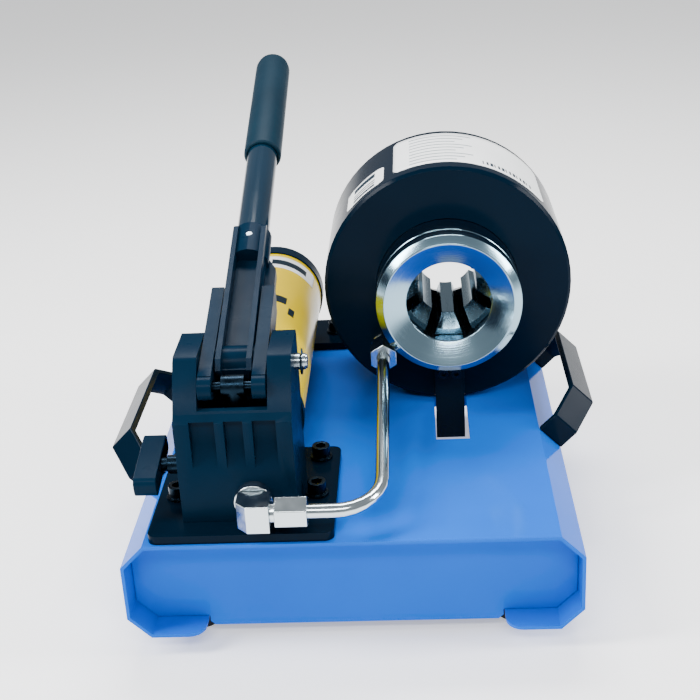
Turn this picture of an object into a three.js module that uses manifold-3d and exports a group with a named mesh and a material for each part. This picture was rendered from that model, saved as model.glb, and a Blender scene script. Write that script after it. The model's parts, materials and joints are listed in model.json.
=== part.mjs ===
// Hand-pumped hydraulic hose crimper: a folded-sheet base, a lever pump with its oil reservoir,
// a steel pressure pipe and a round crimping head whose sliding nose closes eight jaws.
// Millimetres, +Z up. X runs across the machine, Y from its front to its back.
// Inside the machine group, Y = 0 is the front edge of the base and Z = 0 is its top face.
import * as THREE from "three";
import { mergeVertices } from "three/addons/utils/BufferGeometryUtils.js";
import Module from "manifold-3d";

const wasm = await Module();
wasm.setup();

// ---- driving dimensions ----
const GAP = 0.3; // clearance between pieces that rest on each other
const BASE = {
  width: 380, depth: 460, height: 89, sheet: 3, topChamfer: 20, bottomChamfer: 19,
  flangeEdge: 126, flangeCorner: 14, panelInset: 25.5, panelDrop: 6.4,
};
const FOOT = { x: 138, inset: 55, height: 18, topRadius: 22, bottomRadius: 18, stem: 6 };
const HANDLE = { width: 28, bar: 6, leg: 21, diagonal: 26, grip: 130, leftStart: 124, rightStart: 186 };
const PLATE = { x: -89, width: 153, thick: 8, frontY: 2.5, frontDepth: 148, rearY: 386, rearDepth: 66, corner: 8 };
const BOLT = { shank: 5, head: 8, headHeight: 10, hex: 4.2, washer: 10, washerHeight: 2, nut: 8.5, nutHeight: 8 };
const PUMP = { x: -90, width: 96, frontY: 24, cheekTop: 135, backY: 112, slotWidth: 57, slotFloor: 98, cavityFloor: 78 };
const PIVOT = { y: 83, z: 116, pin: 7, angle: 18 };
const PLUNGER = { arm: 31, drop: 6, radius: 9.5, pin: 4, stroke: 28 };
const RESERVOIR = { z: 52, radius: 48.3, wall: 3.2, startY: 118, endY: 396, capY: 418, capRadius: 50 };
const LEVER = { tube: 15, bore: 12.5, w: 0, tubeStart: 140, crossPin: 156, gripStart: 308, gripEnd: 490, grip: 18.75 };
const VALVE = { y: 57, z: 37, stem: 6, x: -76.6, bar: 66, barWidth: 18, thick: 19, tilt: 10 };
const PIPE = { radius: 6, z: 30, bend: 38, nutFlat: 24 };
const HEAD = { x: 89.5, y: 256, z: 118.7, radius: 116.5, inner: 98, length: 132, wall: 18, chamfer: 3 };
const NOSE = { radius: 66.9, crest: 60, crestY: -51.5, bevelY: -45.5, bore: 39, lipY: -41, cavityY: -38 };
const PISTON = { flangeY: 45, flangeEnd: 71, travel: 30, wedge: 0.22, seat: 39.4 };
const JAW = { count: 8, front: -7.4, back: 84, bore: 27.7, faceFront: 4, bevelRadius: 41, sideGap: 5 };
const PORT = { x: -62.3, z: -56.1 };
const STRIP = { width: 28, thick: 5, top: -78, bottom: -158, screwZ: -86.5, screwX: 6.1, slotFront: 173 };
const ROUND = 48; // facets round a large circle
const FINE = 20; // facets round a small one

const FINISH = {
  bluePaint: { color: 0x0a86e8, roughness: 0.25, metalness: 0.1 },
  blackPaint: { color: 0x101316, roughness: 0.35, metalness: 0.1 },
  blackCasting: { color: 0x14181b, roughness: 0.5, metalness: 0.05 },
  yellowPaint: { color: 0xf2c500, roughness: 0.3, metalness: 0.05 },
  brightSteel: { color: 0xc9ccd0, roughness: 0.22, metalness: 1 },
  blackSteel: { color: 0x1b1d20, roughness: 0.4, metalness: 0.8 },
  rubber: { color: 0x151515, roughness: 0.9, metalness: 0 },
  gripRubber: { color: 0x23282c, roughness: 0.75, metalness: 0 },
  seal: { color: 0x2a2320, roughness: 0.7, metalness: 0 },
};

// ---- geometry helpers ----
function solid(geometry) {
  const plain = geometry.clone();
  plain.deleteAttribute("normal");
  plain.deleteAttribute("uv");
  const welded = mergeVertices(plain, 1e-4);
  return new wasm.Manifold(new wasm.Mesh({
    numProp: 3,
    vertProperties: new Float32Array(welded.attributes.position.array),
    triVerts: new Uint32Array(welded.index.array),
  }));
}

function shell(body) {
  const cut = body.getMesh();
  const geometry = new THREE.BufferGeometry();
  geometry.setAttribute("position", new THREE.BufferAttribute(new Float32Array(cut.vertProperties), 3));
  geometry.setIndex(new THREE.BufferAttribute(new Uint32Array(cut.triVerts), 1));
  geometry.computeVertexNormals();
  return geometry;
}

const join = (...parts) => parts.reduce((whole, part) => whole.add(part));
const cutAway = (body, ...tools) => tools.reduce((rest, tool) => rest.subtract(tool), body);

// A box from its low corner to its high corner.
function block(x0, y0, z0, x1, y1, z1) {
  return new THREE.BoxGeometry(x1 - x0, y1 - y0, z1 - z0).translate((x0 + x1) / 2, (y0 + y1) / 2, (z0 + z1) / 2);
}

// A cylinder along one axis, from low to high, centred on the two other coordinates in order.
function rod(axis, radius, low, high, a = 0, b = 0, sides = FINE) {
  const geometry = new THREE.CylinderGeometry(radius, radius, high - low, sides);
  if (axis === "x") return geometry.rotateZ(-Math.PI / 2).translate((low + high) / 2, a, b);
  if (axis === "y") return geometry.translate(a, (low + high) / 2, b);
  return geometry.rotateX(Math.PI / 2).translate(a, b, (low + high) / 2);
}

// A hexagonal prism, sized across its flats.
const hexBar = (axis, flats, low, high, a = 0, b = 0) => rod(axis, flats / Math.sqrt(3), low, high, a, b, 6);

// A turned piece about the Y axis, from [radius, y] points in a closed loop or from axis to axis.
// The points may run either way round: their area's sign says whether to reverse them.
function turned(points, sides = ROUND, closed = true) {
  const area = THREE.ShapeUtils.area(points.map(([x, y]) => ({ x, y })));
  const profile = points.map(([r, y]) => new THREE.Vector2(r, y));
  if (area < 0) profile.reverse();
  if (closed) profile.push(profile[0].clone());
  return new THREE.LatheGeometry(profile, sides);
}

const outline = (points) => new THREE.Shape(points.map(([a, b]) => new THREE.Vector2(a, b)));
const extruded = (shape, depth) => new THREE.ExtrudeGeometry(shape, { depth, bevelEnabled: false, curveSegments: 6 });

// A plan outline in X and Y, extruded up from z.
const upward = (shape, z0, z1) => extruded(shape, z1 - z0).translate(0, 0, z0);

// A front outline in X and Z, extruded back from y0 to y1.
const backward = (shape, y0, y1) => extruded(shape, y1 - y0).rotateX(Math.PI / 2).translate(0, y1, 0);

// A side outline in Y and Z, extruded across from x0 to x1.
function across(shape, x0, x1) {
  const turn = new THREE.Matrix4().makeBasis(
    new THREE.Vector3(0, 1, 0), new THREE.Vector3(0, 0, 1), new THREE.Vector3(1, 0, 0));
  return extruded(shape, x1 - x0).applyMatrix4(turn).translate(x0, 0, 0);
}

function roundedRect(x0, y0, x1, y1, r) {
  const shape = new THREE.Shape();
  shape.moveTo(x0 + r, y0).lineTo(x1 - r, y0).absarc(x1 - r, y0 + r, r, -Math.PI / 2, 0);
  shape.lineTo(x1, y1 - r).absarc(x1 - r, y1 - r, r, 0, Math.PI / 2);
  shape.lineTo(x0 + r, y1).absarc(x0 + r, y1 - r, r, Math.PI / 2, Math.PI);
  shape.lineTo(x0, y0 + r).absarc(x0 + r, y0 + r, r, Math.PI, Math.PI * 1.5);
  return shape;
}

const materials = {};
for (const [name, look] of Object.entries(FINISH)) materials[name] = new THREE.MeshStandardMaterial(look);

const machine = new THREE.Group();

function piece(parent, name, geometry, material) {
  const mesh = new THREE.Mesh(geometry, materials[material]);
  mesh.name = name;
  parent.add(mesh);
  return mesh;
}

// ---- base ----
// Half of the folded section, as [x, z] from the top centre to the flange's free edge, at an offset into the sheet.
function halfSection(offset) {
  const half = BASE.width / 2 - offset;
  const shrink = offset * (2 - Math.SQRT2);
  const top = BASE.topChamfer - shrink;
  const bottom = BASE.bottomChamfer - shrink;
  return [
    [half - top, -offset], [half, -offset - top],
    [half, -BASE.height + offset + bottom], [half - bottom, -BASE.height + offset],
  ];
}

const mirrored = (points) => points.map(([x, z]) => [-x, z]).reverse();

function plateBoltPlaces() {
  const reach = PLATE.width / 2 - 17;
  const places = [];
  for (const side of [-1, 1]) {
    places.push([PLATE.x + side * reach, 66]);
    places.push([PLATE.x + side * reach, 130]);
    places.push([PLATE.x + side * reach, PLATE.rearY + 32]);
  }
  return places;
}

const saddlePlaces = [-1, 1].map((side) => [HEAD.x + side * 46, HEAD.y + 80]);

function baseChannel() {
  const outer = halfSection(0);
  const inner = halfSection(BASE.sheet);
  const low = -BASE.height;
  const right = [...outer, [BASE.flangeEdge, low], [BASE.flangeEdge, low + BASE.sheet], ...inner.reverse()];
  const shape = outline([...right, ...mirrored(right)]);
  let body = solid(backward(shape, 0, BASE.depth));
  const half = (STRIP.width + 3) / 2;
  body = cutAway(body, solid(block(HEAD.x - half, STRIP.slotFront, -9, HEAD.x + half, HEAD.y + 6, 9)));
  for (const [x, y] of [...plateBoltPlaces(), ...saddlePlaces]) {
    body = cutAway(body, solid(rod("z", BOLT.shank + GAP, -9, 9, x, y, 16)));
  }
  const r = BASE.flangeCorner;
  for (const side of [-1, 1]) {
    for (const end of [0, 1]) {
      const y = end ? BASE.depth : 0;
      const inward = end ? -1 : 1;
      const cx = side * (BASE.flangeEdge + r);
      const corner = solid(block(
        Math.min(cx, side * (BASE.flangeEdge - 5)), Math.min(y + inward * r, y - inward * 5), low - 5,
        Math.max(cx, side * (BASE.flangeEdge - 5)), Math.max(y + inward * r, y - inward * 5), low + 8));
      body = body.subtract(corner.subtract(solid(rod("z", r, low - 6, low + 9, cx, y + inward * r))));
      const footY = end ? BASE.depth - FOOT.inset : FOOT.inset;
      body = cutAway(body, solid(rod("z", FOOT.stem + GAP, low - 5, low + 8, side * FOOT.x, footY, FINE)));
    }
  }
  return shell(body);
}

function endPanel(y0) {
  const inner = halfSection(BASE.sheet + GAP);
  const low = -BASE.height;
  const tab = BASE.flangeEdge - 1;
  const right = [...inner, [tab, low + BASE.sheet + GAP], [tab, low - BASE.panelDrop + 4], [tab - 4, low - BASE.panelDrop]];
  return backward(outline([...right, ...mirrored(right)]), y0, y0 + BASE.sheet);
}

// A push-in rubber foot: its stem passes through the flange and ends in a wider barb above it.
function foot() {
  const { topRadius, bottomRadius, height, stem } = FOOT;
  const lip = BASE.sheet + 2 * GAP;
  return turned([
    [0, 12], [stem - 3, 12], [stem + 2.5, lip], [stem, lip], [stem, 0], [topRadius, 0], [topRadius, -5],
    [bottomRadius, -height], [8, -height], [8, -height + 5], [0, -height + 5],
  ], 20, false).rotateX(Math.PI / 2);
}

// A flat bar bent into a loop: leg, diagonal, grip, diagonal, leg. Outline in [y, height above the chamfer].
function carryHandle() {
  const { leg, diagonal, grip, bar, width } = HANDLE;
  const run = 2 * diagonal + grip;
  const knee = bar * Math.tan(Math.PI / 8);
  const top = leg + diagonal;
  const outerLoop = [[0, GAP], [0, leg], [diagonal, top], [diagonal + grip, top], [run, leg], [run, GAP]];
  const innerLoop = [
    [run - bar, GAP], [run - bar, leg - knee], [diagonal + grip - knee, top - bar],
    [diagonal + knee, top - bar], [bar, leg - knee], [bar, GAP],
  ];
  return across(outline([...outerLoop, ...innerLoop]), -width / 2, width / 2);
}

function buildBase() {
  piece(machine, "base_channel", baseChannel(), "bluePaint");
  piece(machine, "front_panel", endPanel(BASE.panelInset), "bluePaint");
  piece(machine, "rear_panel", endPanel(BASE.depth - BASE.panelInset - BASE.sheet), "bluePaint");
  for (const [name, side, y] of [
    ["front_left", -1, FOOT.inset], ["front_right", 1, FOOT.inset],
    ["rear_left", -1, BASE.depth - FOOT.inset], ["rear_right", 1, BASE.depth - FOOT.inset],
  ]) {
    const place = [side * FOOT.x, y, -BASE.height - GAP];
    piece(machine, `foot_${name}`, foot(), "rubber").position.set(...place);
  }
  const middle = BASE.width / 2 - BASE.topChamfer / 2;
  for (const [name, side, start] of [["left", -1, HANDLE.leftStart], ["right", 1, HANDLE.rightStart]]) {
    const handle = piece(machine, `carry_handle_${name}`, carryHandle(), "blackPaint");
    handle.rotation.y = side * Math.PI / 4;
    handle.position.set(side * middle, start, -BASE.topChamfer / 2);
  }
}

// ---- adapter plates and their bolts ----
function adapterPlate(y0, depth, places) {
  const { x, width, thick, corner } = PLATE;
  let body = solid(upward(roundedRect(x - width / 2, y0, x + width / 2, y0 + depth, corner), GAP, thick));
  for (const [bx, by] of places) body = cutAway(body, solid(rod("z", BOLT.shank + GAP, -1, thick + 1, bx, by, 16)));
  return shell(body);
}

// A socket-head bolt with its washer, its shank through plate and sheet, and its nut below.
function throughBolt(seat, under) {
  const { shank, head, headHeight, hex, washer, washerHeight, nut, nutHeight } = BOLT;
  const base = seat + GAP;
  const body = join(
    solid(rod("z", washer, base, base + washerHeight, 0, 0, FINE)),
    solid(rod("z", head, base + washerHeight - 0.5, base + washerHeight + headHeight, 0, 0, FINE)),
    solid(rod("z", shank, under - nutHeight - 3, base + 1, 0, 0, 16)),
    solid(hexBar("z", nut * 2, under - nutHeight, under - GAP)));
  return shell(body.subtract(solid(rod("z", hex * 1.15, base + washerHeight + 4, base + washerHeight + headHeight + 1, 0, 0, 6))));
}

function buildPlates() {
  const places = plateBoltPlaces();
  const names = ["front_left", "middle_left", "rear_left", "front_right", "middle_right", "rear_right"];
  const front = places.filter(([, y]) => y < PLATE.rearY);
  const rear = places.filter(([, y]) => y > PLATE.rearY);
  piece(machine, "front_adapter_plate", adapterPlate(PLATE.frontY, PLATE.frontDepth, front), "blackPaint");
  piece(machine, "rear_adapter_plate", adapterPlate(PLATE.rearY, PLATE.rearDepth, rear), "blackPaint");
  places.forEach(([x, y], i) => {
    piece(machine, `plate_bolt_${names[i]}`, throughBolt(PLATE.thick, -BASE.sheet), "blackSteel").position.set(x, y, 0);
  });
}

// ---- pump ----
const pump = new THREE.Group();
pump.position.set(PUMP.x, 0, PLATE.thick);
machine.add(pump);

function pumpBody() {
  const { width, frontY, cheekTop, backY, slotWidth, slotFloor, cavityFloor } = PUMP;
  const half = width / 2;
  const profile = outline([
    [frontY, GAP], [frontY, 90], [frontY + 6, 96], [53, cheekTop - 3], [58, cheekTop], [106, cheekTop],
    [110, cheekTop - 2.5], [backY, cheekTop - 7], [backY, GAP],
  ]);
  const flange = rod("y", RESERVOIR.capRadius, backY - 4, RESERVOIR.startY, 0, RESERVOIR.z, 48);
  const stub = rod("x", 11, -half - 3, -half + 8, VALVE.y, VALVE.z, 24);
  const pocket = outline([[frontY - 1, 48], [frontY + 9, 68], [frontY + 9, 89], [frontY - 1, 92]]);
  let body = join(solid(across(profile, -half, half)), solid(flange), solid(stub));
  for (const [x0, x1] of [[-35, -14.5], [-7, 8.4], [16, 35]]) body = cutAway(body, solid(across(pocket, x0, x1)));
  return shell(cutAway(body,
    solid(block(-slotWidth / 2, 0, slotFloor, slotWidth / 2, backY + 1, 200)),
    solid(block(-slotWidth / 2, frontY + 13, cavityFloor, slotWidth / 2, 105, 200)),
    solid(rod("x", PIVOT.pin + GAP, -99, 99, PIVOT.y, PIVOT.z)),
    solid(rod("z", PLUNGER.radius + GAP, 24, 99, 0, PIVOT.y - PLUNGER.arm)),
    solid(rod("x", VALVE.stem + GAP, -99, -half + 22, VALVE.y, VALVE.z)),
    solid(rod("y", 5, 10, 50, 13, 22, 16)),
    solid(rod("y", 6.3, 96, 130, 0, RESERVOIR.z, 16))));
}

function buildReservoir() {
  const { z, radius, wall, startY, endY, capY, capRadius } = RESERVOIR;
  const tube = turned([[radius - wall, startY + GAP], [radius, startY + GAP], [radius, endY + 6], [radius - wall, endY + 6]])
    .translate(0, 0, z);
  piece(pump, "reservoir_tube", tube, "yellowPaint");
  const cup = turned([
    [6.3, endY + 6 + GAP], [radius + GAP, endY + 6 + GAP], [radius + GAP, endY], [capRadius, endY],
    [capRadius, capY - 4], [capRadius - 4, capY], [6.3, capY],
  ], 48).translate(0, 0, z);
  const filler = solid(rod("y", 9, endY + 5, capY + 1, 0, z + 30));
  const rest = block(-30, endY + 2, GAP, 30, capY - 2, z - capRadius + 12);
  const room = solid(rod("y", radius + GAP, endY - 1, endY + 6 + GAP, 0, z, ROUND));
  const cap = cutAway(join(solid(cup), cutAway(solid(rest), room)), filler);
  piece(pump, "reservoir_end_cap", shell(cap), "blackCasting");
  const bladder = turned([
    [9, startY + 14], [30, startY + 14], [40, startY + 24], [40, endY - 16], [30, endY - 6], [9, endY - 6],
  ], 24).translate(0, 0, z);
  piece(pump, "oil_bladder", bladder, "seal");
  const tie = join(
    solid(rod("y", 6, 99, capY + 6, 0, z, 16)),
    solid(rod("y", 12, capY + GAP, capY + 2.5, 0, z)),
    solid(hexBar("y", 17, capY + 2.3, capY + 9, 0, z)));
  piece(pump, "reservoir_tie_rod", shell(tie), "brightSteel");
  const plug = join(
    solid(rod("y", 8.7, endY + 8, capY + 1, 0, z + 30)),
    solid(rod("y", 13, capY + GAP, capY + 9, 0, z + 30, 12)));
  piece(pump, "filler_cap", shell(plug), "blackCasting");
}

// ---- lever, in a group at the pivot whose Y runs along the handle ----
const lever = new THREE.Group();
lever.position.set(0, PIVOT.y, PIVOT.z);
lever.rotation.x = THREE.MathUtils.degToRad(PIVOT.angle);
pump.add(lever);

// Where the plunger's pin sits in the lever's own directions when the handle is raised by an angle.
function pinInLever(raised) {
  const lift = THREE.MathUtils.degToRad(raised);
  const turn = -THREE.MathUtils.degToRad(PIVOT.angle) - lift;
  const [y, z] = [-PLUNGER.arm, -PLUNGER.drop - PLUNGER.arm * lift];
  return [y * Math.cos(turn) - z * Math.sin(turn), y * Math.sin(turn) + z * Math.cos(turn)];
}

// A bar with rounded ends between two points of the side view.
function stadium([y0, z0], [y1, z1], r) {
  const along = Math.atan2(z1 - z0, y1 - y0);
  const shape = new THREE.Shape();
  shape.absarc(y0, z0, r, along + Math.PI / 2, along + Math.PI * 1.5);
  shape.absarc(y1, z1, r, along - Math.PI / 2, along + Math.PI / 2);
  return shape;
}

function leverCasting() {
  const low = pinInLever(-15);
  const high = pinInLever(PLUNGER.stroke + 1);
  const outerHalf = PUMP.slotWidth / 2 - 1;
  const inner = 10.5;
  const ear = outline([
    [-26, -6], [-8, -13.5], [14, -14], [78, -12], [86, 2], [84, 14], [8, 16], [-20, 18], [-34, 18],
  ]);
  const floor = outline([[-20, 1], [-20, 7], [172, 4], [172, -2]]);
  const wall = outline([[-14, -9], [10, -14], [168, -14], [173, -10], [173, 14], [166, 18], [-14, 18], [-22, 12]]);
  const wing = outline([[14, 60], [24, 74], [24, 130], [14, 150]]);
  const lug = stadium(low, high, PLUNGER.pin + 6);
  const ears = [[-outerHalf, -outerHalf + 11], [outerHalf - 11, outerHalf]];
  const pieces = [
    solid(across(floor, -12, 12)), solid(across(wall, -inner - 4.5, -inner)), solid(across(wall, inner, inner + 4.5)),
    solid(rod("x", 15, -outerHalf, outerHalf)), solid(block(-outerHalf + 3, 20, -12, outerHalf - 3, 62, -4)),
    solid(rod("y", 18, 132, 173, 0, LEVER.w)), solid(upward(wing, -14, -4)),
  ];
  for (const [x0, x1] of ears) pieces.push(solid(across(ear, x0, x1)), solid(across(lug, x0, x1)));
  const slot = stadium(low, high, PLUNGER.pin + 0.5);
  return shell(cutAway(join(...pieces),
    solid(rod("x", PIVOT.pin + GAP, -60, 60)),
    solid(rod("y", LEVER.tube + GAP, LEVER.tubeStart - GAP, 180, 0, LEVER.w)),
    solid(across(slot, -60, 60)),
    solid(rod("z", 3 + GAP, -40, 40, 0, LEVER.crossPin, 16)),
    solid(block(-inner, -60, -40, inner, -15.5, 40))));
}

function buildLever() {
  piece(lever, "lever_casting", leverCasting(), "blackCasting");
  const { tube, bore, w, tubeStart, crossPin, gripStart, gripEnd, grip } = LEVER;
  const tubeEnd = gripEnd - 20;
  const stock = turned([[bore, tubeStart], [tube, tubeStart], [tube, tubeEnd], [bore, tubeEnd]], 28).translate(0, 0, w);
  piece(lever, "lever_tube", shell(solid(stock).subtract(solid(rod("z", 3 + GAP, -40, 40, 0, crossPin, 16)))), "blackPaint");
  const sleeve = turned([
    [0, gripEnd], [0, tubeEnd + GAP], [tube + GAP, tubeEnd + GAP], [tube + GAP, gripStart], [grip - 1.5, gripStart],
    [grip, gripStart + 1.5], [grip - 0.4, gripEnd - 12], [grip - 2, gripEnd - 5], [grip - 6, gripEnd - 1], [grip - 11, gripEnd],
  ], 28).translate(0, 0, w);
  piece(lever, "lever_grip", sleeve, "gripRubber");
  piece(lever, "tube_cross_pin", rod("z", 3, w - 17.6, w + 17.6, 0, crossPin, 16), "brightSteel");
}

function buildPump() {
  piece(pump, "pump_body", pumpBody(), "blackCasting");
  buildReservoir();
  const half = PUMP.width / 2;
  const pin = join(
    solid(rod("x", PIVOT.pin, -half + 1, half + 9, PIVOT.y, PIVOT.z)),
    solid(rod("x", PIVOT.pin - 1, half + 8, half + 10.5, PIVOT.y, PIVOT.z)));
  const groove = solid(turned([[PIVOT.pin - 1.4, half + 4.6], [PIVOT.pin + 2, half + 4.6], [PIVOT.pin + 2, half + 6.6],
    [PIVOT.pin - 1.4, half + 6.6]], FINE).rotateZ(-Math.PI / 2).translate(0, PIVOT.y, PIVOT.z));
  piece(pump, "pivot_pin", shell(pin.subtract(groove)), "brightSteel");
  const clip = new THREE.Shape();
  clip.absarc(0, 0, 11, Math.PI * 0.7, Math.PI * 2.3).absarc(0, 0, PIVOT.pin - 1.1, Math.PI * 0.3, Math.PI * -1.3, true);
  piece(pump, "pivot_clip", across(clip, half + 4.9, half + 6.3).translate(0, PIVOT.y, PIVOT.z), "blackSteel");
  const plungerY = PIVOT.y - PLUNGER.arm;
  const pinZ = PIVOT.z - PLUNGER.drop;
  const plunger = join(
    solid(rod("z", PLUNGER.radius, 42, pinZ, 0, plungerY)), solid(rod("x", 9.5, -9.4, 9.4, plungerY, pinZ)))
    .subtract(solid(rod("x", PLUNGER.pin + 0.15, -30, 30, plungerY, pinZ)));
  piece(pump, "plunger", shell(plunger), "brightSteel");
  piece(pump, "plunger_pin", rod("x", PLUNGER.pin, -26, 26, plungerY, pinZ), "brightSteel");
  piece(pump, "release_stem", shell(join(
    solid(rod("x", VALVE.stem, -67.5, -half + 20, VALVE.y, VALVE.z)),
    solid(rod("x", 8, -62, -half - 4, VALVE.y, VALVE.z, 24)))), "blackSteel");
  const bar = roundedRect(-VALVE.bar / 2, -VALVE.barWidth / 2, VALVE.bar / 2, VALVE.barWidth / 2, 6);
  const knob = shell(solid(across(bar, -VALVE.thick / 2, VALVE.thick / 2))
    .subtract(solid(rod("x", VALVE.stem + GAP, -2, 20, 0, 0))));
  const handle = piece(pump, "release_knob", knob, "blackCasting");
  handle.rotation.x = THREE.MathUtils.degToRad(VALVE.tilt);
  handle.position.set(VALVE.x, VALVE.y, VALVE.z);
  buildLever();
}

// ---- pressure pipe and its fittings, in machine coordinates ----
const outlet = { x: PUMP.x + 13, y: PUMP.frontY, z: PIPE.z };

// A forged elbow: five-sided in plan, with a spigot into the pump and a neck for the pipe nut.
function elbow() {
  const plan = outline([[-12, 13], [-12, -4], [-3, -13], [15, -13], [15, 13]]);
  const spigot = join(
    solid(rod("y", 9, 12, outlet.y - GAP, 0, 0)), solid(rod("y", 4.7, outlet.y - 1, outlet.y + 14, 0, 0, 24)));
  const body = join(solid(upward(plan, -12, 12)), solid(rod("x", 8.5, 14, 22)), spigot);
  return shell(cutAway(body, solid(rod("x", 3, 0, 30, 0, 0, 12)), solid(rod("y", 3, 0, 60, 0, 0, 12))));
}

// The pipe's centre line: straight out of the pump, one bend, then a straight climb back to the head.
function pipePath(startX, endX, endY, endZ) {
  const { bend, z } = PIPE;
  const slope = Math.atan2(endZ - z, endY);
  const climb = (along) => [along * Math.cos(slope), z + along * Math.sin(slope)];
  const points = [];
  for (const t of [0, 0.5, 0.9]) points.push(new THREE.Vector3(startX + t * (endX - bend - startX), 0, z));
  for (let i = 0; i <= 8; i += 1) {
    const turn = (i / 8) * Math.PI / 2;
    const [y, up] = climb(bend - bend * Math.cos(turn));
    points.push(new THREE.Vector3(endX - bend + bend * Math.sin(turn), y, up));
  }
  const run = Math.hypot(endY, endZ - z);
  for (const t of [0.15, 0.4, 0.7, 0.88]) {
    const [y, up] = climb(bend + t * (run - bend));
    points.push(new THREE.Vector3(endX, y, up));
  }
  for (const past of [4, 9, 18, 27]) points.push(new THREE.Vector3(endX, endY + past, endZ));
  return new THREE.CatmullRomCurve3(points, false, "centripetal");
}

function buildPipe() {
  const collar = cutAway(solid(rod("y", 16, outlet.y - 10, outlet.y - GAP, outlet.x, outlet.z, 40)),
    solid(rod("y", 9 + GAP, 0, 60, outlet.x, outlet.z)));
  piece(machine, "outlet_collar", shell(collar), "brightSteel");
  const fitting = piece(machine, "elbow_fitting", elbow(), "brightSteel");
  fitting.position.set(outlet.x, 0, outlet.z);
  const nutStart = outlet.x + 19;
  const nutEnd = nutStart + 26;
  const pumpNut = cutAway(solid(hexBar("x", PIPE.nutFlat, nutStart, nutEnd, 0, PIPE.z)),
    solid(rod("x", PIPE.radius + GAP, nutStart - 1, nutEnd + 1, 0, PIPE.z)),
    solid(rod("x", 8.5 + GAP, nutStart - 1, outlet.x + 22 + GAP, 0, PIPE.z)));
  piece(machine, "pipe_nut_pump", shell(pumpNut), "brightSteel");
  const portX = HEAD.x + PORT.x;
  const portZ = HEAD.z + PORT.z;
  const nutFront = HEAD.y - 37;
  const path = pipePath(outlet.x + 23, portX, nutFront - 11, portZ);
  const section = new THREE.Shape().absarc(0, 0, PIPE.radius, 0, Math.PI * 2);
  const pipe = new THREE.ExtrudeGeometry(section, { extrudePath: path, steps: 36, curveSegments: 7, bevelEnabled: false });
  piece(machine, "pressure_pipe", pipe, "brightSteel");
  const headNut = cutAway(
    solid(hexBar("y", PIPE.nutFlat, nutFront, nutFront + 20, portX, portZ)),
    solid(rod("y", PIPE.radius + GAP, nutFront - 1, nutFront + 17, portX, portZ)),
    solid(rod("y", 8.5 + GAP, nutFront + 16.5, nutFront + 21, portX, portZ)));
  piece(machine, "pipe_nut_head", shell(headNut), "brightSteel");
  const adapter = cutAway(join(
    solid(rod("y", 8.5, nutFront + 16.8 + GAP, HEAD.y - 5, portX, portZ)),
    solid(hexBar("y", 22, nutFront + 20.6, HEAD.y - 5, portX, portZ)),
    solid(rod("y", 12, HEAD.y - 6, HEAD.y - GAP, portX, portZ)),
    solid(rod("y", 6, HEAD.y - 5, HEAD.y + 12, portX, portZ))),
    solid(rod("y", 2.5, 100, 300, portX, portZ, 12)));
  piece(machine, "head_port_adapter", shell(adapter), "brightSteel");
}

// ---- crimping head, in a group on the head's axis; y = 0 is its front face ----
const head = new THREE.Group();
head.position.set(HEAD.x, HEAD.y, HEAD.z);
machine.add(head);

function headCylinder() {
  const { radius, inner, length, wall, chamfer } = HEAD;
  const bore = NOSE.radius + GAP;
  const body = solid(turned([
    [bore, 0], [radius - chamfer, 0], [radius, chamfer], [radius, length - chamfer], [radius - chamfer, length],
    [inner, length], [inner, wall], [bore, wall], [bore, 12], [bore + 5, 12], [bore + 5, 6], [bore, 6],
  ], 64));
  const screws = [-1, 1].map((side) => solid(rod("y", 3, -1, 12, side * STRIP.screwX, STRIP.screwZ, 16)));
  const portHole = solid(rod("y", 6 + GAP, -1, wall + 1, PORT.x, PORT.z, 24));
  return shell(cutAway(body, portHole, ...screws));
}

const flats = (apothem) => apothem / Math.cos(Math.PI / JAW.count);
const cavity = (y) => PISTON.seat + PISTON.wedge * (y - NOSE.cavityY);

// Eight flat wedge faces, one facing each jaw.
function wedgeSolid(y0, y1, clearance) {
  const points = [[0, y0], [flats(cavity(y0) - clearance), y0], [flats(cavity(y1) - clearance), y1], [0, y1]];
  return solid(turned(points, JAW.count, false).rotateY(Math.PI / JAW.count));
}

function pistonNose() {
  const { radius, crest, crestY, bevelY, bore, lipY, cavityY } = NOSE;
  const { flangeY, flangeEnd } = PISTON;
  const outer = HEAD.inner - GAP;
  const body = solid(turned([
    [0, crestY], [crest, crestY], [radius, bevelY], [radius, flangeY], [outer, flangeY], [outer, flangeY + 10],
    [outer - 5, flangeY + 10], [outer - 5, flangeY + 16], [outer, flangeY + 16], [outer, flangeEnd], [0, flangeEnd],
  ], 64, false));
  const slope = (crest - 0.6 - bore) / (lipY - crestY);
  const dish = solid(turned([[0, crestY - 1], [crest - 0.6 + slope, crestY - 1], [bore, lipY], [0, lipY]], 96, false));
  const hole = solid(rod("y", bore, crestY - 2, cavityY + 0.5, 0, 0, 64));
  return shell(cutAway(body, dish, hole, wedgeSolid(cavityY, flangeEnd + 1, 0)));
}

// One jaw pointing along +X: a wedge-sided block between the piston's flat and the crimping bore.
function jaw() {
  const { front, back, bore, faceFront, bevelRadius, sideGap, count } = JAW;
  const half = Math.PI / count;
  const apex = sideGap / Math.sin(half);
  const far = 90;
  const wedge = outline([[apex, 0], [far, -(far - apex) * Math.tan(half)], [far, (far - apex) * Math.tan(half)]]);
  const sector = solid(backward(wedge, front, back - GAP));
  const borer = solid(turned([
    [0, front - 1], [bevelRadius + 0.5, front - 1], [bevelRadius, front], [bore, faceFront], [bore, back + 1], [0, back + 1],
  ], ROUND, false));
  return shell(sector.intersect(wedgeSolid(front - 1, back + 1, GAP)).subtract(borer));
}

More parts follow.
